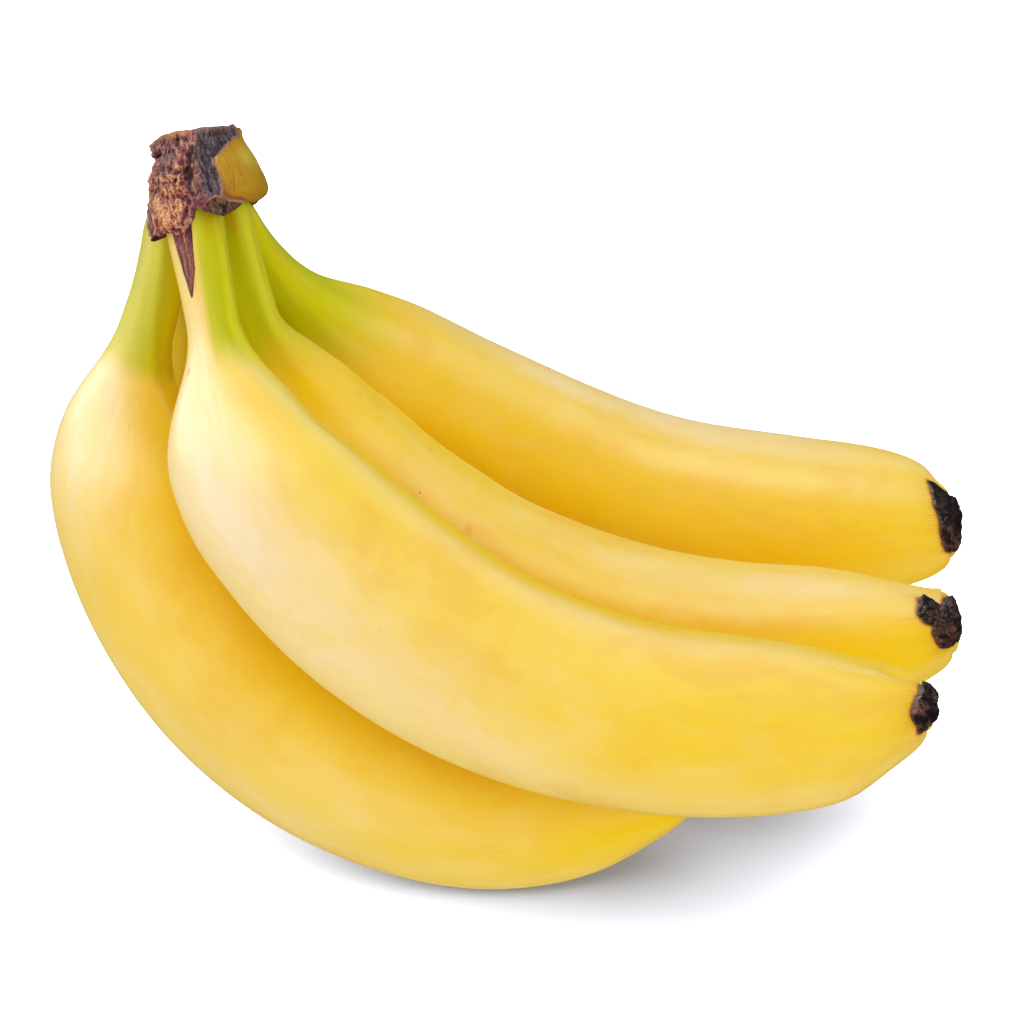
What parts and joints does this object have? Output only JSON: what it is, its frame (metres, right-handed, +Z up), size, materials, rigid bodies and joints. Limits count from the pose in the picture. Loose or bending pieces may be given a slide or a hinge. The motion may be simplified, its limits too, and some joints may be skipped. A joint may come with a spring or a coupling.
{
  "type": "bunch of bananas",
  "caption": "Bunch of ripe yellow bananas with green necks, joined at a dried brown crown, lying on its lower fingers.",
  "frame": {"origin": "middle of the footprint, on the surface that the bunch rests on", "axes": "+Z up; +X along the fingers, from the crown towards the tips; +Y towards the back finger"},
  "size_m": [0.1827, 0.129, 0.1434],
  "materials": {
    "peel": "satin",
    "stalk": "matte",
    "crust": "matte"
  },
  "bodies": {
    "root": {"crown": "stalk", "banana_front": "peel", "banana_middle": "peel", "banana_back": "peel", "banana_lower_front": "peel", "banana_lower_back": "peel", "blossom_end_front": "crust", "blossom_end_middle": "crust", "blossom_end_back": "crust", "blossom_end_lower_front": "crust", "blossom_end_lower_back": "crust"}
  },
  "joints": []
}
